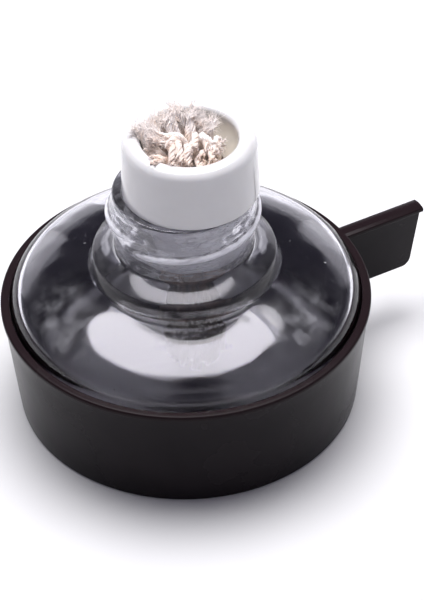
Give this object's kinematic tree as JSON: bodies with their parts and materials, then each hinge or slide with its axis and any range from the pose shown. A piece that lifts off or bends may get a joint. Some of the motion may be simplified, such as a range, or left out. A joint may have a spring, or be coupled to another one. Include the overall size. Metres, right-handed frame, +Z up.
{
  "type": "alcohol burner",
  "caption": "Glass spirit lamp standing in a dark moulded cup with a tab handle; a porcelain collar on its screw neck holds a frayed cotton wick above the fuel.",
  "frame": {"origin": "centre of the cup's flat foot, on the bench", "axes": "+Z up along the neck; the picture looks along +Y with +X to the right, and the handle points 27.5 degrees from +X towards +Y"},
  "size_m": [0.0941, 0.08, 0.071],
  "materials": {
    "phenolic": "dark brown moulded resin, polished",
    "glass": "clear pressed glass",
    "porcelain": "white glaze",
    "cotton": "undyed cotton yarn"
  },
  "bodies": {
    "cup": {"base_cup": "phenolic"},
    "glass": {"reservoir": "glass"},
    "holder": {"wick_holder": "porcelain"},
    "wick": {"wick_strand_1": "cotton", "wick_strand_2": "cotton", "wick_strand_3": "cotton", "wick_strand_4": "cotton", "wick_strand_5": "cotton", "wick_strand_6": "cotton", "wick_strand_7": "cotton", "wick_strand_8": "cotton", "wick_strand_9": "cotton", "wick_strand_10": "cotton", "wick_strand_11": "cotton", "wick_strand_12": "cotton", "wick_strand_13": "cotton", "wick_strand_14": "cotton", "wick_strand_15": "cotton", "wick_strand_16": "cotton", "wick_strand_17": "cotton", "wick_strand_18": "cotton", "wick_strand_19": "cotton"}
  },
  "joints": [
    {"name": "reservoir_lift", "type": "slide", "parent": "cup", "child": "glass", "axis": [0, 0, 1], "range_m": [0, 0.03]},
    {"name": "holder_lift", "type": "slide", "parent": "glass", "child": "holder", "axis": [0, 0, 1], "range_m": [0, 0.055]},
    {"name": "wick_draw", "type": "slide", "parent": "holder", "child": "wick", "axis": [0, 0, 1], "range_m": [0, 0.01]}
  ]
}
